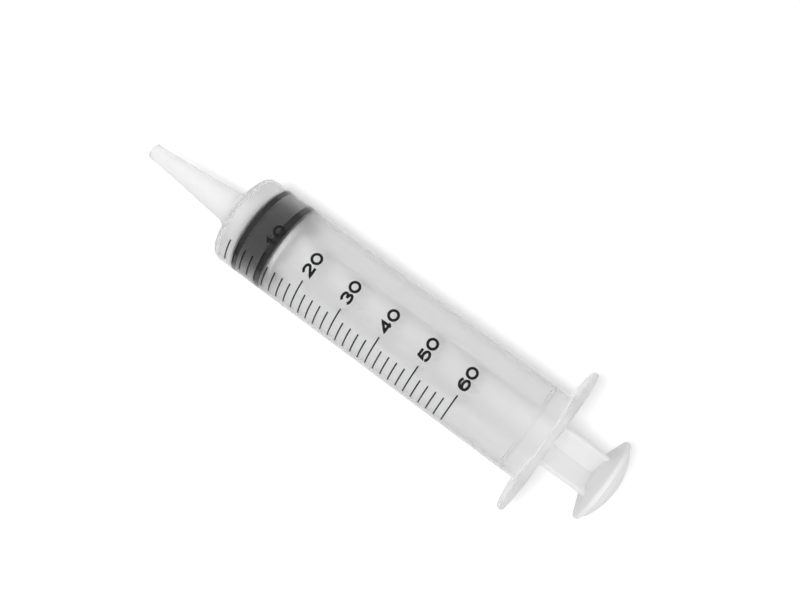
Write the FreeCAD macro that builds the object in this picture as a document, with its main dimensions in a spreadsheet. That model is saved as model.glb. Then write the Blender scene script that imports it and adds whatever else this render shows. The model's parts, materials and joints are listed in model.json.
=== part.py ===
import FreeCAD, Part
import math
import os

import Sketcher

# A 60 ml catheter tip syringe: a moulded barrel with its finger flange, a rubber stopper, a plunger rod that
# snaps into the stopper, and the printed scale. Every piece is drawn about the syringe's own axis: x runs
# from the nozzle to the thumb rest, with x = 0 at the scale's 0 ml line, and y runs out along the flange's
# wings. One placement then lays all of them down on the barrel's front and the flange's flat side.

doc = FreeCAD.newDocument("syringe")

# Driving dimensions: millimetres, and degrees or millilitres where the note says so

DIMENSIONS = [
    ("bore_radius", 14.6, "inside of the barrel"),
    ("barrel_wall", 1.4, "barrel wall"),
    ("barrel_length", 118.4, "0 ml line to the front of the flange"),
    ("shoulder_lead", 1.9, "0 ml line to the shoulder's corner, before it is rounded"),
    ("shoulder_rise", 3.6, "height of the shoulder's cone"),
    ("shoulder_wall", 1.5, "shoulder wall, measured along the axis"),
    ("shoulder_round", 2.5, "rounding of the shoulder's corner, outside"),
    ("nozzle_length", 35.5, "shoulder to open end"),
    ("nozzle_land", 3.5, "straight stretch at the open end"),
    ("nozzle_end_radius", 2.85, "outside of the open end"),
    ("nozzle_root_radius", 5.75, "outside of the nozzle at the shoulder"),
    ("nozzle_end_wall", 1.15, "wall at the open end"),
    ("nozzle_root_wall", 1.5, "wall at the shoulder"),
    ("nozzle_root_bevel", 1.2, "slope between nozzle and shoulder"),
    ("nozzle_end_bevel", 0.4, "bevel round the open end"),
    ("flange_span", 52.0, "finger flange from wing tip to wing tip"),
    ("flange_width", 35.0, "finger flange between its flat sides"),
    ("flange_corner", 15.0, "corner radius of the flange's outline"),
    ("flange_root", 2.8, "flange thickness at the barrel"),
    ("flange_tip", 1.8, "flange thickness at the wing tips"),
    ("flange_bevel", 0.5, "bevel round the flange's rim"),
    ("flange_gusset", 0.8, "slope between flange and barrel"),
    ("bead_setback", 6.1, "middle of the stop bead to the front of the flange"),
    ("bead_width", 1.8, "stop bead along the bore"),
    ("bead_height", 0.45, "stop bead above the bore"),
    ("mouth_flare", 0.5, "lead-in at the mouth, outward"),
    ("mouth_depth", 2.0, "lead-in at the mouth, inward"),
    ("plunger_rest", 5.3, "0 ml line to the stopper's front lip, as it lies"),
    ("seat_gap", 0.2, "stopper's nose to shoulder, with the plunger pushed home"),
    ("lip_gap", 0.05, "sealing lips to bore"),
    ("front_lip", 2.0, "front sealing lip"),
    ("lip_space", 6.7, "recess between the lips"),
    ("rear_lip", 2.7, "rear sealing lip"),
    ("lip_height", 0.95, "lips above the recess"),
    ("nose_radius", 13.3, "rim of the stopper's coned nose"),
    ("hook", 3.0, "rubber that hooks behind the plunger's head"),
    ("head_radius", 11.0, "plunger head"),
    ("head_length", 4.2, "plunger head"),
    ("head_chamfer", 1.2, "front edge of the plunger head"),
    ("neck_radius", 8.0, "plunger neck"),
    ("head_gap", 0.1, "plunger's head and neck to the rubber"),
    ("disc_radius", 13.6, "pushing disc behind the stopper"),
    ("disc_length", 1.8, "pushing disc"),
    ("rod_length", 118.6, "pushing disc to thumb rest"),
    ("rib_span", 19.4, "cross ribs of the rod, edge to edge"),
    ("rib_thickness", 1.8, "cross ribs of the rod"),
    ("rib_turn", 45.0, "degrees from the flange's wings to the ribs"),
    ("thumb_radius", 14.5, "thumb rest"),
    ("thumb_root_radius", 7.0, "thumb rest where it meets the ribs"),
    ("thumb_flare", 3.0, "height of the thumb rest's coned underside"),
    ("thumb_rim", 1.3, "rim of the thumb rest"),
    ("thumb_dome", 4.5, "height of the thumb rest's domed face"),
    ("thumb_bevel", 0.4, "bevel round the thumb rest's rim"),
    ("scale_full", 60.0, "millilitres at the last line"),
    ("scale_step", 2.0, "millilitres from line to line"),
    ("scale_long_step", 10.0, "millilitres from long line to long line"),
    ("line_width", 0.48, "printed line, along the barrel"),
    ("line_start", 64.5, "degrees from the top to the lines' lower ends"),
    ("line_short_sweep", 33.5, "degrees round the barrel that a short line covers"),
    ("line_long_sweep", 46.0, "degrees round the barrel that a long line covers"),
    ("ink_gap", 0.02, "ink to barrel"),
    ("ink_thickness", 0.05, "thickness of the ink"),
]

sheet = doc.addObject("Spreadsheet::Sheet", "sizes")
for row, (alias, number, note) in enumerate(DIMENSIONS, start=1):
    sheet.set(f"A{row}", alias)
    sheet.set(f"B{row}", str(number))
    sheet.set(f"C{row}", note)
    sheet.setAlias(f"B{row}", alias)
doc.recompute()


class Size:
    """A length that carries its present value and the sheet expression that works it out."""

    def __init__(self, value, text):
        self.value = value
        self.text = text

    def __add__(self, other):
        return Size(self.value + other.value, f"({self.text} + {other.text})")

    def __sub__(self, other):
        return Size(self.value - other.value, f"({self.text} - {other.text})")

    def __mul__(self, other):
        return Size(self.value * other.value, f"({self.text} * {other.text})")

    def __truediv__(self, other):
        return Size(self.value / other.value, f"({self.text} / {other.text})")

    def __neg__(self):
        return Size(-self.value, f"(-{self.text})")


def size(alias):
    return Size(float(sheet.get(alias)), f"sizes.{alias}")


TOUCHING = 0.01
ON_AXIS = Size(0.0, "0")
TWO = Size(2.0, "2")
PI = Size(math.pi, "pi")
RIGHT_ANGLE = Size(90.0, "90")
CUBIC_MM_PER_ML = Size(1000.0, "1000")

# Places along the axis, and radii, that the pieces share

barrel_radius = size("bore_radius") + size("barrel_wall")
shoulder_x = -size("shoulder_lead")
nozzle_root_x = shoulder_x - size("shoulder_rise")
nozzle_end_x = nozzle_root_x - size("nozzle_length")
nozzle_root_bore = size("nozzle_root_radius") - size("nozzle_root_wall")
nozzle_end_bore = size("nozzle_end_radius") - size("nozzle_end_wall")
shoulder_slope = size("shoulder_rise") / (barrel_radius - size("nozzle_root_radius"))
flange_front_x = size("barrel_length")
flange_rear_x = flange_front_x + size("flange_root")
flange_half_span = size("flange_span") / TWO
flange_half_flat = flange_half_span - size("flange_corner")
flange_slope = (size("flange_root") - size("flange_tip")) / size("flange_corner")
mouth_radius = size("bore_radius") + size("mouth_flare")
bead_x = flange_front_x - size("bead_setback")

lip_radius = size("bore_radius") - size("lip_gap")
recess_radius = lip_radius - size("lip_height")
front_lip_x = size("plunger_rest")
recess_front_x = front_lip_x + size("front_lip")
recess_rear_x = recess_front_x + size("lip_space")
stopper_rear_x = recess_rear_x + size("rear_lip")

hook_front_x = stopper_rear_x - size("hook")
head_rear_x = hook_front_x - size("head_gap")
head_front_x = head_rear_x - size("head_length")
disc_front_x = stopper_rear_x + size("head_gap")
disc_rear_x = disc_front_x + size("disc_length")
thumb_root_x = disc_rear_x + size("rod_length")
thumb_rim_x = thumb_root_x + size("thumb_flare")
thumb_face_x = thumb_rim_x + size("thumb_rim")
thumb_top_x = thumb_face_x + size("thumb_dome")


def shoulder_inside_x(radius):
    """Where the inside of the shoulder's cone stands, at a radius."""
    return shoulder_x + size("shoulder_wall") - shoulder_slope * (barrel_radius - radius)


def new_body(label):
    body = doc.addObject("PartDesign::Body", label)
    body.Label = label
    return body


def new_sketch(body, name, role):
    plane = next(feature for feature in body.Origin.OriginFeatures if feature.Role == role)
    sketch = body.newObject("Sketcher::SketchObject", name)
    sketch.AttachmentSupport = [(plane, "")]
    sketch.MapMode = "FlatFace"
    return sketch


def turn_sketch(sketch, axis, angle):
    """Turns a sketch on its plane's own axes, by an angle that the sheet works out."""
    sketch.AttachmentOffset = FreeCAD.Placement(FreeCAD.Vector(), FreeCAD.Rotation(axis, angle.value))
    sketch.setExpression("AttachmentOffset.Rotation.Angle", angle.text)


START = 1
END = 2
CENTRE = 3
SKETCH_ORIGIN = (-1, 1)
HORIZONTAL_AXIS = -1


def constrain(sketch, length, kind, *where):
    """Adds a constraint whose length is worked out by the sheet."""
    index = sketch.addConstraint(Sketcher.Constraint(kind, *where, length.value))
    sketch.setExpression(f"Constraints[{index}]", length.text)


def outline(sketch, points, domed=False):
    """A closed outline through the points. A domed one starts on the axis, with an arc centred there."""
    first = sketch.GeometryCount
    corners = [FreeCAD.Vector(x.value, y.value, 0) for x, y in points]
    for i, corner in enumerate(corners):
        following = corners[(i + 1) % len(corners)]
        if domed and i == 0:
            sketch.addGeometry(dome_arc(corner, following), False)
        else:
            sketch.addGeometry(Part.LineSegment(corner, following), False)
    for i, (x, y) in enumerate(points):
        curve = first + i
        previous = first + (i - 1) % len(points)
        sketch.addConstraint(Sketcher.Constraint("Coincident", previous, END, curve, START))
        constrain(sketch, x, "DistanceX", *SKETCH_ORIGIN, curve, START)
        if y is ON_AXIS:
            sketch.addConstraint(Sketcher.Constraint("PointOnObject", curve, START, HORIZONTAL_AXIS))
        else:
            constrain(sketch, y, "DistanceY", *SKETCH_ORIGIN, curve, START)
    if domed:
        sketch.addConstraint(Sketcher.Constraint("PointOnObject", first, CENTRE, HORIZONTAL_AXIS))


def dome_arc(top, rim):
    """The arc from a dome's top, on the axis, to its rim, centred on the axis behind the top."""
    height = top.x - rim.x
    radius = (rim.y**2 + height**2) / (2 * height)
    halfway = math.asin(rim.y / radius) / 2
    middle = FreeCAD.Vector(top.x - radius * (1 - math.cos(halfway)), radius * math.sin(halfway), 0)
    return Part.Arc(top, middle, rim)


def turned(body, name, points, domed=False):
    """A solid of revolution about the axis, from its half section."""
    sketch = new_sketch(body, f"{name}_section", "XY_Plane")
    outline(sketch, points, domed)
    solid = body.newObject("PartDesign::Revolution", name)
    solid.Profile = sketch
    solid.ReferenceAxis = (sketch, ["H_Axis"])
    solid.Angle = 360
    doc.recompute()
    return solid


def is_ring(edge, x, radius):
    """Whether an edge is a circle about the axis, at x and with that radius."""
    if edge.Degenerated or not isinstance(edge.Curve, Part.Circle):
        return False
    off_place = abs(edge.Curve.Center.x - x.value)
    off_radius = abs(edge.Curve.Radius - radius.value)
    return max(off_place, off_radius) < TOUCHING


def edge_treatment(body, kind, name, wanted):
    """A fillet or chamfer on those edges of the body so far that the test wanted picks."""
    base = body.Tip
    edges = [f"Edge{i}" for i, edge in enumerate(base.Shape.Edges, start=1) if wanted(edge)]
    if not edges:
        raise RuntimeError(f"{name} finds no edge")
    treatment = body.newObject(kind, name)
    treatment.Base = (base, edges)
    return treatment


def rounded(body, name, radius, wanted):
    fillet = edge_treatment(body, "PartDesign::Fillet", name, wanted)
    fillet.setExpression("Radius", radius.text)
    doc.recompute()


def bevelled(body, name, setback, wanted):
    chamfer = edge_treatment(body, "PartDesign::Chamfer", name, wanted)
    chamfer.setExpression("Size", setback.text)
    doc.recompute()


# Barrel: one moulding from the nozzle's open end to the finger flange

def make_barrel():
    body = new_body("barrel")
    add_flange(body)
    gusset = size("flange_gusset")
    gusset_radius = barrel_radius + gusset
    half_bead = size("bead_width") / TWO
    turned(body, "barrel_tube", [
        (nozzle_end_x, size("nozzle_end_radius") - size("nozzle_end_bevel")),
        (nozzle_end_x + size("nozzle_end_bevel"), size("nozzle_end_radius")),
        (nozzle_end_x + size("nozzle_land"), size("nozzle_end_radius")),
        (nozzle_root_x, size("nozzle_root_radius")),
        (shoulder_x, barrel_radius),
        (flange_front_x - gusset, barrel_radius),
        (flange_front_x + flange_slope * (gusset_radius - flange_half_flat), gusset_radius),
        (flange_rear_x, barrel_radius),
        (flange_rear_x, mouth_radius),
        (flange_rear_x - size("mouth_depth"), size("bore_radius")),
        (bead_x + half_bead, size("bore_radius")),
        (bead_x, size("bore_radius") - size("bead_height")),
        (bead_x - half_bead, size("bore_radius")),
        (shoulder_inside_x(size("bore_radius")), size("bore_radius")),
        (shoulder_inside_x(nozzle_root_bore), nozzle_root_bore),
        (nozzle_end_x, nozzle_end_bore),
    ])
    rounded(body, "shoulder_corner", size("shoulder_round"),
            lambda edge: is_ring(edge, shoulder_x, barrel_radius))
    bevelled(body, "nozzle_root", size("nozzle_root_bevel"),
             lambda edge: is_ring(edge, nozzle_root_x, size("nozzle_root_radius")))
    return body


def add_flange(body):
    """The finger flange: a plate whose wings thin out towards their tips, cut to its outline and bevelled."""
    reach = flange_half_span + size("flange_root")
    tip_x = flange_front_x + flange_slope * (reach - flange_half_flat)
    sketch = new_sketch(body, "flange_plan", "XY_Plane")
    outline(sketch, [
        (flange_front_x, -flange_half_flat),
        (flange_front_x, flange_half_flat),
        (tip_x, reach),
        (flange_rear_x, reach),
        (flange_rear_x, -reach),
        (tip_x, -reach),
    ])
    plate = body.newObject("PartDesign::Pad", "flange_plate")
    plate.Profile = sketch
    plate.Midplane = True
    plate.setExpression("Length", (reach * TWO).text)
    doc.recompute()
    cut_flange_outline(body, reach)
    bevelled(body, "flange_rim", size("flange_bevel"), is_flange_rim)


def cut_flange_outline(body, reach):
    """Leaves two flat sides, two wings with rounded corners, and the hole for the barrel's mouth."""
    sketch = new_sketch(body, "flange_outline", "YZ_Plane")
    rounded_rectangle(sketch, flange_half_span, size("flange_width") / TWO, size("flange_corner"))
    for radius in (reach * TWO, mouth_radius):
        circle = Part.Circle(FreeCAD.Vector(), FreeCAD.Vector(0, 0, 1), radius.value)
        index = sketch.addGeometry(circle, False)
        sketch.addConstraint(Sketcher.Constraint("Coincident", index, CENTRE, *SKETCH_ORIGIN))
        constrain(sketch, radius, "Radius", index)
    plate_volume = body.Tip.Shape.Volume
    pocket = body.newObject("PartDesign::Pocket", "flange_cut")
    pocket.Profile = sketch
    pocket.Type = "ThroughAll"
    pocket.Midplane = True
    doc.recompute()
    if not pocket.Shape.Volume < plate_volume:
        raise RuntimeError("the flange's outline cuts nothing")


def rounded_rectangle(sketch, half_length, half_height, corner):
    """A rectangle about the sketch's origin with its corners rounded, from four lines and four arcs."""
    a = half_length.value
    b = half_height.value
    r = corner.value
    up = FreeCAD.Vector(0, 0, 1)
    first = sketch.GeometryCount
    for quarter, (side_x, side_y) in enumerate(((1, 1), (-1, 1), (-1, -1), (1, -1))):
        centre = FreeCAD.Vector(side_x * (a - r), side_y * (b - r), 0)
        from_angle = quarter * math.pi / 2
        circle = Part.Circle(centre, up, r)
        sketch.addGeometry(Part.ArcOfCircle(circle, from_angle, from_angle + math.pi / 2), False)
        constrain(sketch, corner, "Radius", first + quarter)
        signed_x = half_length - corner if side_x > 0 else corner - half_length
        signed_y = half_height - corner if side_y > 0 else corner - half_height
        constrain(sketch, signed_x, "DistanceX", *SKETCH_ORIGIN, first + quarter, CENTRE)
        constrain(sketch, signed_y, "DistanceY", *SKETCH_ORIGIN, first + quarter, CENTRE)
    ends = [(sketch.getPoint(first + i, END), sketch.getPoint(first + (i + 1) % 4, START)) for i in range(4)]
    for quarter, (start, end) in enumerate(ends):
        line = sketch.addGeometry(Part.LineSegment(start, end), False)
        arc_after = first + (quarter + 1) % 4
        sketch.addConstraint(Sketcher.Constraint("Tangent", first + quarter, END, line, START))
        sketch.addConstraint(Sketcher.Constraint("Tangent", line, END, arc_after, START))


def is_flange_rim(edge):
    """Whether an edge runs round the flange's outline, on its front or rear face."""
    box = edge.BoundBox
    across = math.hypot(box.YLength, box.ZLength) > box.XLength
    middle = edge.valueAt((edge.FirstParameter + edge.LastParameter) / 2)
    return across and all(on_flange_outline(point) for point in (edge.Vertexes[0].Point, middle))


def on_flange_outline(point):
    corner = size("flange_corner").value
    past_corner_y = max(abs(point.y) - (size("flange_span").value / 2 - corner), 0)
    past_corner_z = max(abs(point.z) - (size("flange_width").value / 2 - corner), 0)
    return abs(math.hypot(past_corner_y, past_corner_z) - corner) < TOUCHING


# Stopper: black rubber with two sealing lips, hollow behind for the plunger's head

def make_stopper():
    body = new_body("stopper")
    travel_to_seat = size("plunger_rest") + size("seat_gap")
    cavity_radius = size("head_radius") + size("head_gap")
    hook_radius = size("neck_radius") + size("head_gap")
    turned(body, "stopper_rubber", [
        (shoulder_inside_x(nozzle_root_bore) + travel_to_seat, ON_AXIS),
        (shoulder_inside_x(nozzle_root_bore) + travel_to_seat, nozzle_root_bore),
        (shoulder_inside_x(size("nose_radius")) + travel_to_seat, size("nose_radius")),
        (front_lip_x, lip_radius),
        (recess_front_x, lip_radius),
        (recess_front_x, recess_radius),
        (recess_rear_x, recess_radius),
        (recess_rear_x, lip_radius),
        (stopper_rear_x, lip_radius),
        (stopper_rear_x, hook_radius),
        (hook_front_x, hook_radius),
        (hook_front_x, cavity_radius),
        (head_front_x - size("head_gap"), cavity_radius),
        (head_front_x - size("head_gap"), ON_AXIS),
    ])
    return body


# Plunger rod: one moulding with a head that snaps into the stopper, cross ribs and a thumb rest

def make_plunger_rod():
    body = new_body("plunger_rod")
    thumb_bevel = size("thumb_bevel")
    turned(body, "plunger_head", [
        (head_front_x, ON_AXIS),
        (head_front_x, size("head_radius") - size("head_chamfer")),
        (head_front_x + size("head_chamfer"), size("head_radius")),
        (head_rear_x, size("head_radius")),
        (head_rear_x, size("neck_radius")),
        (disc_front_x, size("neck_radius")),
        (disc_front_x, size("disc_radius")),
        (disc_rear_x, size("disc_radius")),
        (disc_rear_x, ON_AXIS),
    ])
    add_cross_ribs(body)
    turned(body, "thumb_rest", [
        (thumb_top_x, ON_AXIS),
        (thumb_face_x, size("thumb_radius") - thumb_bevel),
        (thumb_face_x - thumb_bevel, size("thumb_radius")),
        (thumb_rim_x + thumb_bevel, size("thumb_radius")),
        (thumb_rim_x, size("thumb_radius") - thumb_bevel),
        (thumb_root_x, size("thumb_root_radius")),
        (thumb_root_x, ON_AXIS),
    ], domed=True)
    return body


def add_cross_ribs(body):
    """The cross section of the rod, drawn from the pushing disc into the thumb rest."""
    reach = size("rib_span") / TWO
    half = size("rib_thickness") / TWO
    sketch = new_sketch(body, "rib_section", "YZ_Plane")
    outline(sketch, [
        (reach, half),
        (half, half),
        (half, reach),
        (-half, reach),
        (-half, half),
        (-reach, half),
        (-reach, -half),
        (-half, -half),
        (-half, -reach),
        (half, -reach),
        (half, -half),
        (reach, -half),
    ])
    turn_sketch(sketch, FreeCAD.Vector(0, 0, 1), size("rib_turn"))
    sketch.setExpression("AttachmentOffset.Base.z", disc_rear_x.text)
    ribs = body.newObject("PartDesign::Pad", "cross_ribs")
    ribs.Profile = sketch
    ribs.setExpression("Length", (thumb_rim_x - disc_rear_x).text)
    doc.recompute()
    return ribs


# Printed scale: strips of black ink round the barrel, long ones at every tenth millilitre

def make_scale_lines():
    body = new_body("scale_lines")
    ml_along_barrel = CUBIC_MM_PER_ML / (PI * size("bore_radius") * size("bore_radius"))
    for name, step, sweep in (("short_line", "scale_step", "line_short_sweep"),
                              ("long_line", "scale_long_step", "line_long_sweep")):
        pitch = ml_along_barrel * size(step)
        first_line = printed_line(body, name, pitch, size(sweep))
        repeat_line(body, first_line, pitch, size(step))
    return body


def printed_line(body, name, x, sweep):
    """One strip of ink across the barrel at x, from the scale's lower edge up round the barrel."""
    ink_radius = barrel_radius + size("ink_gap")
    half_width = size("line_width") / TWO
    sketch = new_sketch(body, f"{name}_section", "XY_Plane")
    outline(sketch, [
        (x - half_width, ink_radius),
        (x + half_width, ink_radius),
        (x + half_width, ink_radius + size("ink_thickness")),
        (x - half_width, ink_radius + size("ink_thickness")),
    ])
    turn_sketch(sketch, FreeCAD.Vector(1, 0, 0), RIGHT_ANGLE + size("line_start") - sweep)
    strip = body.newObject("PartDesign::Revolution", name)
    strip.Profile = sketch
    strip.ReferenceAxis = (sketch, ["H_Axis"])
    strip.setExpression("Angle", sweep.text)
    doc.recompute()
    return strip


def repeat_line(body, line, pitch, step):
    """Repeats a line along the barrel to the end of the scale."""
    pattern = body.newObject("PartDesign::LinearPattern", f"{line.Name}s")
    pattern.Originals = [line]
    pattern.Direction = (line.Profile[0], ["H_Axis"])
    pattern.Mode = "Spacing"
    pattern.setExpression("Offset", pitch.text)
    pattern.setExpression("Occurrences", (size("scale_full") / step).text)
    body.Tip = pattern
    doc.recompute()
    return pattern


# Resting place: the axis dips towards the nozzle, because the flange's flat side stands proud of the barrel

def lay_down(barrel, others):
    proud = size("flange_width") / TWO - barrel_radius
    touch_distance = flange_front_x + size("flange_bevel")
    barrel.Placement = FreeCAD.Placement(FreeCAD.Vector(), FreeCAD.Rotation(FreeCAD.Vector(0, 1, 0), -1))
    tilt = f"atan(max({proud.text}; 0) / {touch_distance.text})"
    middle = (thumb_top_x + nozzle_end_x) / TWO
    barrel.setExpression("Placement.Rotation.Angle", f"-{tilt}")
    barrel.setExpression("Placement.Base.x", f"-{middle.text} * cos({tilt})")
    barrel.setExpression("Placement.Base.z", f"{barrel_radius.text} * cos({tilt})")
    for body in others:
        body.setExpression("Placement", f"{barrel.Name}.Placement")
    doc.recompute()


def check_document(bodies):
    for item in doc.Objects:
        if "Invalid" in item.State or "Error" in item.State:
            raise RuntimeError(f"{item.Label} failed: {item.State}")
    for body in bodies:
        if body.Shape.isNull() or not body.Shape.isValid():
            raise RuntimeError(f"{body.Label} has no valid shape")


barrel = make_barrel()
stopper = make_stopper()
plunger_rod = make_plunger_rod()
scale_lines = make_scale_lines()
pieces = [barrel, stopper, plunger_rod, scale_lines]
lay_down(barrel, pieces[1:])
check_document(pieces)

os.makedirs("parts", exist_ok=True)
for piece in pieces:
    piece.Shape.exportStep(f"parts/{piece.Label}.step")
    box = piece.Shape.BoundBox
    print(piece.Label, len(piece.Shape.Solids), "solids", round(piece.Shape.Volume, 1), "mm3",
          [round(value, 3) for value in (box.XMin, box.XMax, box.YMin, box.YMax, box.ZMin, box.ZMax)])
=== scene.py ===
import json
import math

import bmesh
import bpy
from mathutils import Matrix, Vector


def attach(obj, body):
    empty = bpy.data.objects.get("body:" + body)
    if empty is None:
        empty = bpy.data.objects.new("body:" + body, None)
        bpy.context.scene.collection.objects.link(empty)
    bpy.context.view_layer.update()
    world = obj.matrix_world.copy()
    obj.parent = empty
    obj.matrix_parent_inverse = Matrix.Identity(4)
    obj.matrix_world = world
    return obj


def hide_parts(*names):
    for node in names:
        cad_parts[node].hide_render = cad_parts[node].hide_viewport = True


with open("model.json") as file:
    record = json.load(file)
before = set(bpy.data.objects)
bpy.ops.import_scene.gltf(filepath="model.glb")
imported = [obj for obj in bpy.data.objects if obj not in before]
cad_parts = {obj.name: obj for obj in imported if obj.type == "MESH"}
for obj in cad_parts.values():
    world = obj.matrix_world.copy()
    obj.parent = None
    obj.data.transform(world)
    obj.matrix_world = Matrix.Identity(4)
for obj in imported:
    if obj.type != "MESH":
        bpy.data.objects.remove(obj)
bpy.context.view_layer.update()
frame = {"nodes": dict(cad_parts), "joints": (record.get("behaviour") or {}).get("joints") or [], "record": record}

# A 60 ml catheter tip syringe that lies on white. Sizes here are millimetres about the syringe's own axis:
# x runs from the nozzle to the thumb rest, with x = 0 at the scale's 0 ml line, y runs out along the
# flange's wings, and an angle round the axis starts at the top and grows towards +y.

MM = 0.001
SHOULDER_LEAD = 1.9
SHOULDER_RISE = 3.6
NOZZLE_LENGTH = 35.5
BARREL_WALL = 1.4

mounts = {mount["name"]: mount for mount in frame["record"]["mounts"]}
slide = next(joint for joint in frame["joints"] if joint["name"] == "plunger_slide")
axis = Vector(slide["axis"]).normalized()
nozzle_reach = (SHOULDER_LEAD + SHOULDER_RISE + NOZZLE_LENGTH) * MM
zero_ml = Vector(mounts["nozzle_end"]["pos_m"]) + axis * nozzle_reach
tilt = Vector((1, 0, 0)).rotation_difference(axis).to_matrix().to_4x4()
LAID_DOWN = Matrix.Translation(zero_ml) @ tilt
TO_OWN_AXES = LAID_DOWN.inverted()


def extent(node):
    """Lowest and highest corner of a CAD node about the syringe's own axis."""
    corners = [TO_OWN_AXES @ vertex.co / MM for vertex in frame["nodes"][node].data.vertices]
    low = Vector(min(corner[i] for corner in corners) for i in range(3))
    high = Vector(max(corner[i] for corner in corners) for i in range(3))
    return low, high


barrel_low, barrel_high = extent("barrel")
stopper_low = extent("stopper")[0]
rod_high = extent("plunger_rod")[1]
scale_low, scale_high = extent("scale_lines")
BARREL_RADIUS = mounts["barrel_band"]["dims"]["r_mm"]
BORE_RADIUS = BARREL_RADIUS - BARREL_WALL


# Helpers

def linear(hex_colour):
    """An sRGB hex colour as linear red, green, blue and a full alpha."""
    channels = [int(hex_colour[i:i + 2], 16) / 255 for i in (1, 3, 5)]
    return [c / 12.92 if c <= 0.04045 else ((c + 0.055) / 1.055) ** 2.4 for c in channels] + [1.0]


def add_node(tree, kind, inputs=(), **settings):
    """Adds a node. An input is a value or the output socket that feeds it."""
    node = tree.nodes.new(kind)
    for name, value in settings.items():
        setattr(node, name, value)
    for name, value in dict(inputs).items():
        if isinstance(value, bpy.types.NodeSocket):
            tree.links.new(value, node.inputs[name])
        else:
            node.inputs[name].default_value = value
    return node


def empty_material(name):
    """A material without nodes, and its node tree."""
    material = bpy.data.materials.new(name)
    material.use_nodes = True
    material.node_tree.nodes.clear()
    return material, material.node_tree


# A corner that turns less than this, in radians, stays as it is. A rounding takes up at most this share of
# the shorter side, and one more point beyond each of its ends keeps the side flat in smooth shading.
LEAST_TURN = 0.04
MOST_OF_SIDE = 0.45
LEAD = 0.1


def soften(corners, steps=4):
    """Rounds a closed outline. A corner is x, radius and the rounding that it gets."""
    outline = []
    for i, (x, r, rounding) in enumerate(corners):
        corner = Vector((x, r))
        before = Vector(corners[i - 1][:2]) - corner
        after = Vector(corners[(i + 1) % len(corners)][:2]) - corner
        stays_sharp = rounding == 0 or before.length == 0 or after.length == 0
        turn = 0 if stays_sharp else math.pi - before.angle(after)
        if turn < LEAST_TURN:
            outline.append(corner)
            continue
        shorter = min(before.length, after.length)
        setback = min(rounding * math.tan(turn / 2), MOST_OF_SIDE * shorter)
        into = before.normalized()
        out_of = after.normalized()
        start = corner + into * setback
        end = corner + out_of * setback
        outline.append(corner + into * (1 + LEAD) * setback)
        for step in range(steps + 1):
            t = step / steps
            from_start = (1 - t) ** 2
            from_corner = 2 * t * (1 - t) * math.cos(turn / 2)
            from_end = t ** 2
            point = start * from_start + corner * from_corner + end * from_end
            outline.append(point / (from_start + from_corner + from_end))
        outline.append(corner + out_of * (1 + LEAD) * setback)
    return outline


# Two faces that meet at more than this, in radians, keep a sharp edge between them. Points less than the
# second value apart, in metres, are one point.
SHARP_FROM = 0.6
WELDED = 1e-7


def finished_mesh(name, shape):
    """The shape as a smooth mesh with its sharp edges kept."""
    mesh = bpy.data.meshes.new(name)
    shape.to_mesh(mesh)
    shape.free()
    mesh.shade_smooth()
    mesh.set_sharp_from_angle(angle=SHARP_FROM)
    return mesh


def spun(name, section, turns):
    """A mesh turned about the axis. The section gives its rounded outline at each angle."""
    shape = bmesh.new()
    rings = []
    for turn in range(turns):
        angle = 2 * math.pi * turn / turns
        ring = []
        for p in section(angle):
            ring.append(shape.verts.new((p.x * MM, p.y * math.sin(angle) * MM, p.y * math.cos(angle) * MM)))
        rings.append(ring)
    for turn, ring in enumerate(rings):
        following = rings[(turn + 1) % turns]
        for i in range(len(ring)):
            j = (i + 1) % len(ring)
            shape.faces.new((ring[i], following[i], following[j], ring[j]))
    bmesh.ops.remove_doubles(shape, verts=shape.verts, dist=WELDED)
    bmesh.ops.recalc_face_normals(shape, faces=shape.faces)
    return finished_mesh(name, shape)


def place(mesh, body, material, node=None):
    """Lays a piece down with the syringe, hangs it on the body that it moves with and hides the CAD node that it
    stands for.
    """
    piece = bpy.data.objects.new(mesh.name, mesh)
    bpy.context.scene.collection.objects.link(piece)
    piece.matrix_world = LAID_DOWN
    mesh.materials.append(material)
    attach(piece, body)
    if node:
        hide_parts(node)


# Materials

# Roughness of the barrel's three finishes, then in millimetres how far the polish fades into the rest and
# how far the bore's finish reaches to either side of it.
POLISHED_FINISH = 0.12
BORE_FINISH = 0.55
ERODED_FINISH = 0.65
POLISH_FADES_OVER = 0.6
BORE_BAND = 0.1

# Share of the lamp's light that passes the wall, and the Layer Weight facing at which it does.
FACE_ON = 0.04
EDGE_ON = 0.5
PASSES_FACE_ON = 1.0
PASSES_EDGE_ON = 0.1


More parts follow.
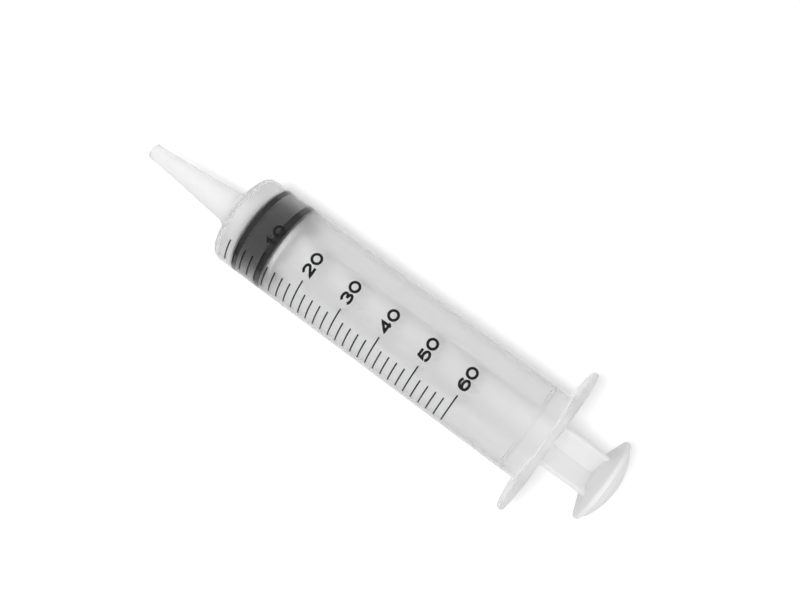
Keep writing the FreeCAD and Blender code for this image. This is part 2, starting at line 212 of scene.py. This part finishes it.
def barrel_polypropylene():
    """Clear moulded polypropylene, from a mould that is polished outside and spark-eroded inside.

    What touches the wall shows sharp, and what lies behind it is lost in haze. The lamp shines through the
    wall where it meets it face-on, and little of it passes at the edges, so the barrel has a soft outline
    of shadow round a bright inside.
    """
    material, tree = empty_material("barrel_polypropylene")
    where = add_node(tree, "ShaderNodeTexCoord")
    place_in_wall = add_node(tree, "ShaderNodeSeparateXYZ", {"Vector": where.outputs["Object"]})
    across = add_node(tree, "ShaderNodeCombineXYZ", {
        "Y": place_in_wall.outputs["Y"], "Z": place_in_wall.outputs["Z"]})
    radius = add_node(tree, "ShaderNodeVectorMath", {0: across.outputs["Vector"]}, operation="LENGTH")
    outside_by = add_node(tree, "ShaderNodeMath", {
        0: radius.outputs["Value"], 1: BARREL_RADIUS * MM}, operation="SUBTRACT")
    off_outer_face = add_node(tree, "ShaderNodeMath", {0: outside_by.outputs[0]}, operation="ABSOLUTE")
    bore_face = add_node(tree, "ShaderNodeMath", {
        0: radius.outputs["Value"], 1: BORE_RADIUS * MM, 2: BORE_BAND * MM}, operation="COMPARE")
    eroded = add_node(tree, "ShaderNodeMapRange", {
        "Value": bore_face.outputs[0], "To Min": ERODED_FINISH, "To Max": BORE_FINISH})
    haze = add_node(tree, "ShaderNodeMapRange", {
        "Value": off_outer_face.outputs[0], "From Max": POLISH_FADES_OVER * MM,
        "To Min": POLISHED_FINISH, "To Max": eroded.outputs["Result"]})
    surface = add_node(tree, "ShaderNodeBsdfPrincipled", {
        "Base Color": linear("#FFFFFF"),
        "Roughness": haze.outputs["Result"],
        "IOR": 1.49,
        "Transmission Weight": 1.0,
    })
    path = add_node(tree, "ShaderNodeLightPath")
    edge_on = add_node(tree, "ShaderNodeLayerWeight", {"Blend": 0.5})
    passed = add_node(tree, "ShaderNodeMapRange", {
        "Value": edge_on.outputs["Facing"], "From Min": FACE_ON, "From Max": EDGE_ON,
        "To Min": PASSES_FACE_ON, "To Max": PASSES_EDGE_ON})
    let_through = add_node(tree, "ShaderNodeBsdfTransparent", {"Color": passed.outputs["Result"]})
    wall = add_node(tree, "ShaderNodeMixShader", {
        0: path.outputs["Is Shadow Ray"], 1: surface.outputs["BSDF"], 2: let_through.outputs[0]})
    add_node(tree, "ShaderNodeOutputMaterial", {"Surface": wall.outputs[0]})
    return material


def rod_polypropylene():
    """White moulded polypropylene from a finely eroded mould: satin, with shades that run into one another
    because light passes into the plastic and out again."""
    material, tree = empty_material("rod_polypropylene")
    where = add_node(tree, "ShaderNodeTexCoord")
    # The mould's real grain, about 0.05 mm, is too fine to show, so it is drawn at 0.35 mm.
    grain = add_node(tree, "ShaderNodeTexNoise", {
        "Vector": where.outputs["Object"], "Scale": 1 / (0.35 * MM), "Detail": 2.0})
    # The gloss drifts over about 14 mm, as it does where the plastic met the mould sooner or later.
    drift = add_node(tree, "ShaderNodeTexNoise", {
        "Vector": where.outputs["Object"], "Scale": 1 / (14 * MM), "Detail": 1.0})
    satin = add_node(tree, "ShaderNodeMapRange", {
        "Value": drift.outputs["Fac"], "To Min": 0.38, "To Max": 0.48})
    bump = add_node(tree, "ShaderNodeBump", {
        "Height": grain.outputs["Fac"], "Strength": 0.06, "Distance": 0.05 * MM})
    surface = add_node(tree, "ShaderNodeBsdfPrincipled", {
        "Base Color": linear("#EEEEEE"),
        "Roughness": satin.outputs["Result"],
        "IOR": 1.49,
        "Subsurface Weight": 1.0,
        "Subsurface Radius": (1.0, 1.0, 1.0),
        "Subsurface Scale": 3.0 * MM,
        "Normal": bump.outputs["Normal"],
    })
    add_node(tree, "ShaderNodeOutputMaterial", {"Surface": surface.outputs["BSDF"]})
    return material


def stopper_rubber():
    """Black moulded rubber: dull, with the faint grain of its mould."""
    material, tree = empty_material("stopper_rubber")
    where = add_node(tree, "ShaderNodeTexCoord")
    # The real grain, about 0.05 mm, is too fine to show, so it is drawn at 0.25 mm.
    grain = add_node(tree, "ShaderNodeTexNoise", {
        "Vector": where.outputs["Object"], "Scale": 1 / (0.25 * MM), "Detail": 3.0})
    bump = add_node(tree, "ShaderNodeBump", {
        "Height": grain.outputs["Fac"], "Strength": 0.15, "Distance": 0.03 * MM})
    surface = add_node(tree, "ShaderNodeBsdfPrincipled", {
        "Base Color": linear("#101012"),
        "Roughness": 0.55,
        "IOR": 1.52,
        "Normal": bump.outputs["Normal"],
    })
    add_node(tree, "ShaderNodeOutputMaterial", {"Surface": surface.outputs["BSDF"]})
    return material


def printing_ink():
    """Black screen printing ink: matt, and so dense that nothing shines through."""
    material, tree = empty_material("printing_ink")
    where = add_node(tree, "ShaderNodeTexCoord")
    # The screen's threads, about 0.1 mm apart, are too fine to show, so the ink varies at 0.2 mm.
    cover = add_node(tree, "ShaderNodeTexNoise", {
        "Vector": where.outputs["Object"], "Scale": 1 / (0.2 * MM), "Detail": 1.0})
    matt = add_node(tree, "ShaderNodeMapRange", {
        "Value": cover.outputs["Fac"], "To Min": 0.5, "To Max": 0.7})
    surface = add_node(tree, "ShaderNodeBsdfPrincipled", {
        "Base Color": linear("#101011"),
        "Roughness": matt.outputs["Result"],
        "IOR": 1.5,
    })
    add_node(tree, "ShaderNodeOutputMaterial", {"Surface": surface.outputs["BSDF"]})
    return material


# Barrel: nozzle, shoulder, tube and finger flange in one moulding

SHOULDER_X = -SHOULDER_LEAD
SHOULDER_WALL = 1.5
NOZZLE_ROOT_X = SHOULDER_X - SHOULDER_RISE
NOZZLE_LAND = 3.5
NOZZLE_END_RADIUS = 2.85
NOZZLE_END_WALL = 1.15
NOZZLE_ROOT_RADIUS = 5.75
NOZZLE_ROOT_WALL = 1.5
NOZZLE_ROOT_BORE = NOZZLE_ROOT_RADIUS - NOZZLE_ROOT_WALL
FLANGE_ROOT = 2.8
FLANGE_TIP = 1.8
FLANGE_CORNER = 15.0
FLANGE_ROUND = 0.5
FLANGE_RIM = 1.2
BEAD_SETBACK = 6.1
BEAD_WIDTH = 1.8
BEAD_HEIGHT = 0.45
MOUTH_FLARE = 0.5
MOUTH_DEPTH = 2.0
LEAST_SINE = 0.01
TUBE_PARTS = 24
PLAIN_BORE_MARGIN = 2.0
BARREL_TURNS = 288


def flange_reach(angle):
    """Distance from the axis to the flange's outline, a rectangle with its corners rounded."""
    across = abs(math.sin(angle))
    upward = abs(math.cos(angle))
    half_span = barrel_high.y
    half_width = barrel_high.z
    middle_y = half_span - FLANGE_CORNER
    middle_z = half_width - FLANGE_CORNER
    if upward * middle_y > across * half_width:
        return half_width / upward
    if across * middle_z > upward * half_span:
        return half_span / across
    along = across * middle_y + upward * middle_z
    return along + math.sqrt(along ** 2 - middle_y ** 2 - middle_z ** 2 + FLANGE_CORNER ** 2)


def barrel_section(angle):
    """Outline of the barrel's wall: out along the nozzle, the tube and the flange, and back inside."""
    nozzle_end_x = barrel_low.x
    rear_x = barrel_high.x
    front_x = rear_x - FLANGE_ROOT
    inner_x = SHOULDER_X + SHOULDER_WALL
    bead_x = front_x - BEAD_SETBACK
    shoulder_slope = (SHOULDER_X - NOZZLE_ROOT_X) / (BARREL_RADIUS - NOZZLE_ROOT_RADIUS)

    # The flange's front is flat as far out as its flat sides reach, and its wings taper beyond. The sine
    # is kept off zero, where a section points straight up and has no taper.
    reach = flange_reach(angle)
    across = max(abs(math.sin(angle)), LEAST_SINE)
    half_flat = barrel_high.y - FLANGE_CORNER
    taper_from = min(max(half_flat / across, BARREL_RADIUS + FLANGE_ROUND), reach - FLANGE_RIM)

    def flange_face(r):
        return front_x + (FLANGE_ROOT - FLANGE_TIP) / FLANGE_CORNER * max(r * across - half_flat, 0)

    # The straight runs are divided, so that their faces stay short enough to shade evenly.
    tube = [SHOULDER_X + (front_x - SHOULDER_X) * part / TUBE_PARTS for part in range(1, TUBE_PARTS)]
    bore = [x for x in reversed(tube) if inner_x + PLAIN_BORE_MARGIN < x < bead_x - PLAIN_BORE_MARGIN]
    return soften([
        (nozzle_end_x, NOZZLE_END_RADIUS, 0.45),
        (nozzle_end_x + NOZZLE_LAND, NOZZLE_END_RADIUS, 8.0),
        (NOZZLE_ROOT_X, NOZZLE_ROOT_RADIUS, 6.0),
        (SHOULDER_X, BARREL_RADIUS, 2.5),
    ] + [(x, BARREL_RADIUS, 0) for x in tube] + [
        (flange_face(BARREL_RADIUS), BARREL_RADIUS, FLANGE_ROUND),
        (flange_face(taper_from), taper_from, 0),
        (flange_face(reach), reach, FLANGE_ROUND),
        (rear_x, reach, FLANGE_ROUND),
        (rear_x, BORE_RADIUS + MOUTH_FLARE, 0.4),
        (rear_x - MOUTH_DEPTH, BORE_RADIUS, 2.0),
        (bead_x + BEAD_WIDTH / 2, BORE_RADIUS, 1.0),
        (bead_x, BORE_RADIUS - BEAD_HEIGHT, 1.5),
        (bead_x - BEAD_WIDTH / 2, BORE_RADIUS, 1.0),
    ] + [(x, BORE_RADIUS, 0) for x in bore] + [
        (inner_x - shoulder_slope * (BARREL_RADIUS - BORE_RADIUS), BORE_RADIUS, 1.2),
        (inner_x - shoulder_slope * (BARREL_RADIUS - NOZZLE_ROOT_BORE), NOZZLE_ROOT_BORE, 4.0),
        (nozzle_end_x, NOZZLE_END_RADIUS - NOZZLE_END_WALL, 0.3),
    ], steps=7)


# Stopper: black rubber with two lips that press on the bore, and a cavity for the rod's head

NOSE_RIM_X = 4.15
NOSE_RADIUS = 13.3
FRONT_LIP_X = 5.3
FRONT_LIP = 2.0
LIP_SPACE = 6.7
REAR_LIP = 2.7
LIP_HEIGHT = 0.95
LIP_PRESS = 0.02
HOOK = 3.0
HEAD_RADIUS = 11.0
HEAD_LENGTH = 4.2
HEAD_GAP = 0.1
NECK_RADIUS = 8.0
RECESS_FRONT_X = FRONT_LIP_X + FRONT_LIP
RECESS_REAR_X = RECESS_FRONT_X + LIP_SPACE
STOPPER_REAR_X = RECESS_REAR_X + REAR_LIP
HOOK_FRONT_X = STOPPER_REAR_X - HOOK
HEAD_REAR_X = HOOK_FRONT_X - HEAD_GAP
HEAD_FRONT_X = HEAD_REAR_X - HEAD_LENGTH
STOPPER_TURNS = 256


def stopper_section(angle):
    """Outline of the rubber: nose, two lips with a recess between, hook and cavity for the rod's head."""
    lip = BORE_RADIUS + LIP_PRESS
    recess = lip - LIP_HEIGHT
    neck_hole = NECK_RADIUS + HEAD_GAP
    cavity = HEAD_RADIUS + HEAD_GAP
    cavity_front_x = HEAD_FRONT_X - HEAD_GAP
    nose_x = stopper_low.x
    return soften([
        (nose_x, 0, 0),
        (nose_x, NOZZLE_ROOT_BORE, 1.0),
        (NOSE_RIM_X, NOSE_RADIUS, 0.8),
        (FRONT_LIP_X, lip, 0.25),
        (RECESS_FRONT_X, lip, 0.3),
        (RECESS_FRONT_X, recess, 0.35),
        (RECESS_REAR_X, recess, 0.35),
        (RECESS_REAR_X, lip, 0.3),
        (STOPPER_REAR_X, lip, 0.3),
        (STOPPER_REAR_X, neck_hole, 0.3),
        (HOOK_FRONT_X, neck_hole, 0.3),
        (HOOK_FRONT_X, cavity, 0.3),
        (cavity_front_x, cavity, 0.5),
        (cavity_front_x, 0, 0),
    ])


# Plunger rod: turned head, pushing disc and thumb rest, joined by four ribs

HEAD_BEVEL = 0.6
DISC_RADIUS = 13.6
DISC_LENGTH = 1.8
DISC_FRONT_X = STOPPER_REAR_X + HEAD_GAP
DISC_REAR_X = DISC_FRONT_X + DISC_LENGTH
RIB_SPAN = 19.4
RIB_THICKNESS = 1.8
RIB_TURN = math.radians(45)
RIB_IN_DISC = 0.3
RIB_IN_THUMB = 2.0
ROD_LENGTH = 118.6
THUMB_ROOT_X = DISC_REAR_X + ROD_LENGTH
THUMB_ROOT_RADIUS = 7.0
THUMB_FLARE = 3.0
THUMB_RIM = 1.3
THUMB_RADIUS = 14.5
DOME_INSET = 1.5
DOME_EDGE_RISE = 0.55
DOME_RINGS = 12
ROD_TURNS = 192


def head_section(angle):
    """Outline of the rod's front: head, neck and pushing disc."""
    return soften([
        (HEAD_FRONT_X, 0, 0),
        (HEAD_FRONT_X, HEAD_RADIUS - HEAD_BEVEL, 1.6),
        (HEAD_FRONT_X + HEAD_BEVEL, HEAD_RADIUS, 1.6),
        (HEAD_REAR_X, HEAD_RADIUS, 0.3),
        (HEAD_REAR_X, NECK_RADIUS, 0.3),
        (DISC_FRONT_X, NECK_RADIUS, 0.3),
        (DISC_FRONT_X, DISC_RADIUS, 0.4),
        (DISC_REAR_X, DISC_RADIUS, 0.4),
        (DISC_REAR_X, 0, 0),
    ])


def thumb_section(angle):
    """Outline of the thumb rest: coned underside, rim and domed face."""
    rim_x = THUMB_ROOT_X + THUMB_FLARE
    face_x = rim_x + THUMB_RIM
    dome_height = rod_high.x - face_x
    dome_radius = (THUMB_RADIUS ** 2 + dome_height ** 2) / (2 * dome_height)
    dome_edge = THUMB_RADIUS - DOME_INSET
    rim = soften([
        (THUMB_ROOT_X, 0, 0),
        (THUMB_ROOT_X, THUMB_ROOT_RADIUS, 1.0),
        (rim_x, THUMB_RADIUS, 0.5),
        (face_x, THUMB_RADIUS, 0.5),
        (face_x + DOME_EDGE_RISE, dome_edge, 0),
    ])
    dome = []
    for ring in range(1, DOME_RINGS + 1):
        r = dome_edge * (1 - ring / DOME_RINGS)
        dome.append(Vector((rod_high.x - dome_radius + math.sqrt(dome_radius ** 2 - r ** 2), r)))
    return rim + dome


def rib_mesh():
    """The cross of ribs: a cross section with rounded edges, drawn out from the disc to the thumb rest."""
    shape = bmesh.new()
    reach = RIB_SPAN / 2
    half = RIB_THICKNESS / 2
    corners = []
    for quarter in range(4):
        c = math.cos(quarter * math.pi / 2)
        s = math.sin(quarter * math.pi / 2)
        for y, z, rounding in ((half, half, 0.4), (reach, half, 0.35), (reach, -half, 0.35)):
            corners.append((y * c + z * s, z * c - y * s, rounding))
    outline = soften(corners, steps=3)
    c = math.cos(RIB_TURN)
    s = math.sin(RIB_TURN)
    ends = []
    for x in (DISC_REAR_X - RIB_IN_DISC, THUMB_ROOT_X + RIB_IN_THUMB):
        turned = [(x * MM, (p.x * c - p.y * s) * MM, (p.x * s + p.y * c) * MM) for p in outline]
        ends.append([shape.verts.new(point) for point in turned])
    for i in range(len(outline)):
        j = (i + 1) % len(outline)
        shape.faces.new((ends[0][i], ends[0][j], ends[1][j], ends[1][i]))
    shape.faces.new(ends[0])
    shape.faces.new(ends[1])
    bmesh.ops.recalc_face_normals(shape, faces=shape.faces)
    return finished_mesh("ribs", shape)


def joined(name, meshes):
    """One closed skin round meshes that overlap."""
    bodies = []
    for mesh in meshes:
        body = bpy.data.objects.new(mesh.name, mesh)
        bpy.context.scene.collection.objects.link(body)
        bodies.append(body)
    for body in bodies[1:]:
        union = bodies[0].modifiers.new("union", "BOOLEAN")
        union.operation = "UNION"
        union.object = body
    bpy.context.view_layer.update()
    whole = bodies[0].evaluated_get(bpy.context.evaluated_depsgraph_get())
    shape = bmesh.new()
    shape.from_mesh(whole.to_mesh())
    whole.to_mesh_clear()
    for body in bodies:
        bpy.data.meshes.remove(body.data)
    return finished_mesh(name, shape)


# Print: numerals drawn with a pen of even width and wrapped round the barrel

INK_LIFT = 0.04
INK_RADIUS = BARREL_RADIUS + INK_LIFT
PEN = 0.88
LEAST_MITRE = 0.5
LONGEST_RUN = 0.5
SAME_POINT = 1e-4
NUMERAL_HEIGHT = 3.95
NUMERAL_WIDTH = 4.05
NUMERAL_GAP = 0.15
NUMERAL_START = math.radians(-11.7)
NUMERAL_LEAD = 0.35
NUMERAL_COUNT = 6
LINE_WIDTH = 0.48
LINE_SPACES = 29
SPACES_PER_NUMERAL = 5


def arc(cx, cy, rx, ry, start, end, steps=18):
    """Points of an elliptic arc, in shares of a numeral's width and height, degrees from the right."""
    points = []
    for step in range(steps + 1):
        a = math.radians(start + (end - start) * step / steps)
        points.append((cx + rx * math.cos(a), cy + ry * math.sin(a)))
    return points


NUMERALS = {
    "0": [arc(0.5, 0.5, 0.5, 0.5, 0, 360, 36)],
    "1": [[(0.22, 0.72), (0.6, 1.0), (0.6, 0.0)]],
    "2": [arc(0.48, 0.72, 0.44, 0.28, 172, -38) + [(0.02, 0.0), (0.98, 0.0)]],
    "3": [arc(0.47, 0.75, 0.42, 0.25, 165, -90), arc(0.49, 0.25, 0.47, 0.25, 90, -165)],
    "4": [[(0.74, 0.0), (0.74, 1.0), (0.0, 0.27), (1.0, 0.27)]],
    "5": [[(0.92, 1.0), (0.22, 1.0), (0.1, 0.5)] + arc(0.49, 0.32, 0.47, 0.32, 140, -160)],
    "6": [arc(0.5, 0.32, 0.48, 0.32, 0, 360, 30), arc(0.56, 0.5, 0.54, 0.5, 48, 200)],
}


def numeral_strokes(text):
    """Centre lines of a row of numerals in millimetres: along the reading direction, and up."""
    strokes = []
    for i, character in enumerate(text):
        left = i * (NUMERAL_WIDTH + NUMERAL_GAP) + PEN / 2
        for stroke in NUMERALS[character]:
            strokes.append([
                Vector((left + u * (NUMERAL_WIDTH - PEN), PEN / 2 + v * (NUMERAL_HEIGHT - PEN)))
                for u, v in stroke])
    return strokes


def divided(stroke):
    """The stroke's points, with more along its straight runs so that it can follow the barrel."""
    points = [stroke[0]]
    for start, end in zip(stroke, stroke[1:]):
        parts = max(1, math.ceil((end - start).length / LONGEST_RUN))
        points += [start.lerp(end, part / parts) for part in range(1, parts + 1)]
    return points


def on_barrel(point, line_x):
    """A numeral's point wrapped round the barrel, with the numeral's middle near a line of the scale."""
    x = line_x - NUMERAL_LEAD + NUMERAL_HEIGHT / 2 - point.y
    angle = NUMERAL_START + point.x / INK_RADIUS
    return Vector((x, INK_RADIUS * math.sin(angle), INK_RADIUS * math.cos(angle))) * MM


def draw_stroke(shape, stroke, line_x):
    """Adds one stroke as a band of the pen's width, with mitred corners."""
    points = divided(stroke)
    closed = (points[0] - points[-1]).length < SAME_POINT
    if closed:
        before_first, after_last = points[-2], points[1]
    else:
        before_first, after_last = points[0], points[-1]
    sides = []
    for before, point, after in zip([before_first] + points, points, points[1:] + [after_last]):
        arriving = (point - before).normalized()
        leaving = (after - point).normalized()
        heading = (arriving + leaving).normalized()
        mitre = max(arriving.dot(heading), LEAST_MITRE) if arriving.length else 1.0
        side = Vector((-heading.y, heading.x)) * (PEN / 2 / mitre)
        sides.append([shape.verts.new(on_barrel(point + way * side, line_x)) for way in (1, -1)])
    for near, far in zip(sides, sides[1:]):
        shape.faces.new((near[0], near[1], far[1], far[0]))


def numerals_mesh():
    """The numerals 10 to 60, one at each long line of the scale."""
    shape = bmesh.new()
    ten_ml = (scale_high.x - scale_low.x - LINE_WIDTH) / LINE_SPACES * SPACES_PER_NUMERAL
    first_x = scale_high.x - LINE_WIDTH / 2 - (NUMERAL_COUNT - 1) * ten_ml
    for i in range(NUMERAL_COUNT):
        for stroke in numeral_strokes(str(10 * (i + 1))):
            draw_stroke(shape, stroke, first_x + i * ten_ml)
    return finished_mesh("numerals", shape)


# The syringe's pieces

barrel = spun("barrel_moulding", barrel_section, BARREL_TURNS)
stopper = spun("stopper_moulding", stopper_section, STOPPER_TURNS)
head = spun("head", head_section, ROD_TURNS)
thumb_rest = spun("thumb", thumb_section, ROD_TURNS)
rod = joined("rod_moulding", [rib_mesh(), head, thumb_rest])
ink = printing_ink()
place(barrel, "barrel", barrel_polypropylene(), "barrel")
place(stopper, "stopper", stopper_rubber(), "stopper")
place(rod, "plunger", rod_polypropylene(), "plunger_rod")
place(numerals_mesh(), "barrel", ink)
scale_lines = frame["nodes"]["scale_lines"]
scale_lines.data.materials.clear()
scale_lines.data.materials.append(ink)


# White table, light and camera. Places and widths here are metres.

TABLE_HALF_WIDTH = 1.5
GLOW_NEAR = 0.32
GLOW_FAR = 1.0
GLOW_GROWS_FROM = 0.15
GLOW_GROWS_TO = 0.6
ROOM_LEVEL = 0.38
WINDOW_LEVEL = 0.85
KEY_PLACE = (-0.04, -0.085, 0.62)
KEY_WIDTH = 0.19
KEY_POWER = 2.05


def seen_by_way_of(tree, path, kinds):
    """1 for what the camera sees by way of plastic, and 0 for light on its way to a surface.

    The kinds are names of Light Path's outputs.
    """
    straight = add_node(tree, "ShaderNodeMath", {
        0: path.outputs["Diffuse Depth"], 1: 0.5}, operation="LESS_THAN")
    by_way = path.outputs[kinds[0]]
    for kind in kinds[1:]:
        either = add_node(tree, "ShaderNodeMath", {0: by_way, 1: path.outputs[kind]}, operation="MAXIMUM")
        by_way = either.outputs[0]
    both = add_node(tree, "ShaderNodeMath", {0: by_way, 1: straight.outputs[0]}, operation="MULTIPLY")
    return both.outputs[0]


def table_material():
    """White matt paper. It glows for the camera, and more so beyond the lamp's reach, so that only the
    syringe's own shadow darkens it, and it is plain white where it is seen by way of plastic."""
    material, tree = empty_material("white_paper")
    path = add_node(tree, "ShaderNodeLightPath")
    where = add_node(tree, "ShaderNodeTexCoord")
    away = add_node(tree, "ShaderNodeVectorMath", {0: where.outputs["Object"]}, operation="LENGTH")
    strength = add_node(tree, "ShaderNodeMapRange", {
        "Value": away.outputs["Value"], "From Min": GLOW_GROWS_FROM, "From Max": GLOW_GROWS_TO,
        "To Min": GLOW_NEAR, "To Max": GLOW_FAR})
    paper = add_node(tree, "ShaderNodeBsdfDiffuse", {"Color": linear("#F0F0F0")})
    glow = add_node(tree, "ShaderNodeEmission", {
        "Color": linear("#FFFFFF"), "Strength": strength.outputs["Result"]})
    lit_paper = add_node(tree, "ShaderNodeAddShader", {0: paper.outputs[0], 1: glow.outputs[0]})
    white = add_node(tree, "ShaderNodeEmission", {"Color": linear("#FFFFFF"), "Strength": 1.0})
    direct = add_node(tree, "ShaderNodeMixShader", {
        0: path.outputs["Is Camera Ray"], 1: paper.outputs[0], 2: lit_paper.outputs[0]})
    choice = add_node(tree, "ShaderNodeMixShader", {
        0: seen_by_way_of(tree, path, ["Is Transmission Ray", "Is Glossy Ray"]),
        1: direct.outputs[0], 2: white.outputs[0]})
    add_node(tree, "ShaderNodeOutputMaterial", {"Surface": choice.outputs[0]})
    return material


def table():
    """A plain sheet that fills the view. It is staging, so it isn't a piece of the syringe."""
    mesh = bpy.data.meshes.new("table")
    shape = bmesh.new()
    bmesh.ops.create_grid(shape, x_segments=1, y_segments=1, size=TABLE_HALF_WIDTH)
    shape.to_mesh(mesh)
    shape.free()
    mesh.materials.append(table_material())
    floor = bpy.data.objects.new("table", mesh)
    bpy.context.scene.collection.objects.link(floor)


def room():
    """A plain pale room with its window beyond the thumb rest, and white where the camera sees it."""
    world = bpy.data.worlds.new("studio")
    bpy.context.scene.world = world
    world.use_nodes = True
    tree = world.node_tree
    tree.nodes.clear()
    path = add_node(tree, "ShaderNodeLightPath")
    looked_at = add_node(tree, "ShaderNodeMath", {
        0: path.outputs["Is Camera Ray"],
        1: seen_by_way_of(tree, path, ["Is Transmission Ray"])}, operation="MAXIMUM")
    where = add_node(tree, "ShaderNodeTexCoord")
    towards = add_node(tree, "ShaderNodeSeparateXYZ", {"Vector": where.outputs["Generated"]})
    walls = add_node(tree, "ShaderNodeMapRange", {
        "Value": towards.outputs["X"], "From Min": 0.0, "From Max": 0.8,
        "To Min": ROOM_LEVEL, "To Max": WINDOW_LEVEL})
    level = add_node(tree, "ShaderNodeMath", {
        0: looked_at.outputs[0], 1: walls.outputs["Result"]}, operation="MAXIMUM")
    light = add_node(tree, "ShaderNodeBackground", {
        "Color": linear("#FFFFFF"), "Strength": level.outputs[0]})
    add_node(tree, "ShaderNodeOutputWorld", {"Surface": light.outputs[0]})


def key_lamp():
    """A soft round lamp nearly overhead, for the short shadow. Nothing reflects or refracts its disc."""
    lamp = bpy.data.lights.new("key", "AREA")
    lamp.shape = "DISK"
    lamp.size = KEY_WIDTH
    lamp.energy = KEY_POWER
    holder = bpy.data.objects.new("key", lamp)
    bpy.context.scene.collection.objects.link(holder)
    holder.location = KEY_PLACE
    holder.rotation_euler = (-Vector(KEY_PLACE)).to_track_quat("-Z", "Y").to_euler()
    holder.visible_glossy = False
    holder.visible_transmission = False


# The camera's place and aim are millimetres about the syringe's own axis, its lens is for a sensor 36 mm
# wide, and the slope is that of the syringe's axis in the picture.
CAMERA_PLACE = (96.94, 0, 313.38)
CAMERA_AIM = (56.10, 8.33, 0)
CAMERA_LENS = 43.94
SENSOR_WIDTH = 36
NEAREST_SEEN = 0.01
AXIS_SLOPE = math.radians(36.545)


def camera():
    """The photograph's view, nearly straight down, with the nozzle at the upper left."""
    view = bpy.data.cameras.new("camera")
    view.sensor_width = SENSOR_WIDTH
    view.lens = CAMERA_LENS
    view.clip_start = NEAREST_SEEN
    holder = bpy.data.objects.new("camera", view)
    bpy.context.scene.collection.objects.link(holder)
    stand = LAID_DOWN @ (Vector(CAMERA_PLACE) * MM)
    aim = LAID_DOWN @ (Vector(CAMERA_AIM) * MM)
    upward = LAID_DOWN.to_3x3() @ Vector((-math.sin(AXIS_SLOPE), math.cos(AXIS_SLOPE), 0))
    back = (stand - aim).normalized()
    right = upward.cross(back).normalized()
    turn = Matrix((right, back.cross(right), back)).transposed().to_4x4()
    holder.matrix_world = Matrix.Translation(stand) @ turn
    bpy.context.scene.camera = holder


table()
room()
key_lamp()
camera()
bpy.context.scene.view_settings.view_transform = "Standard"
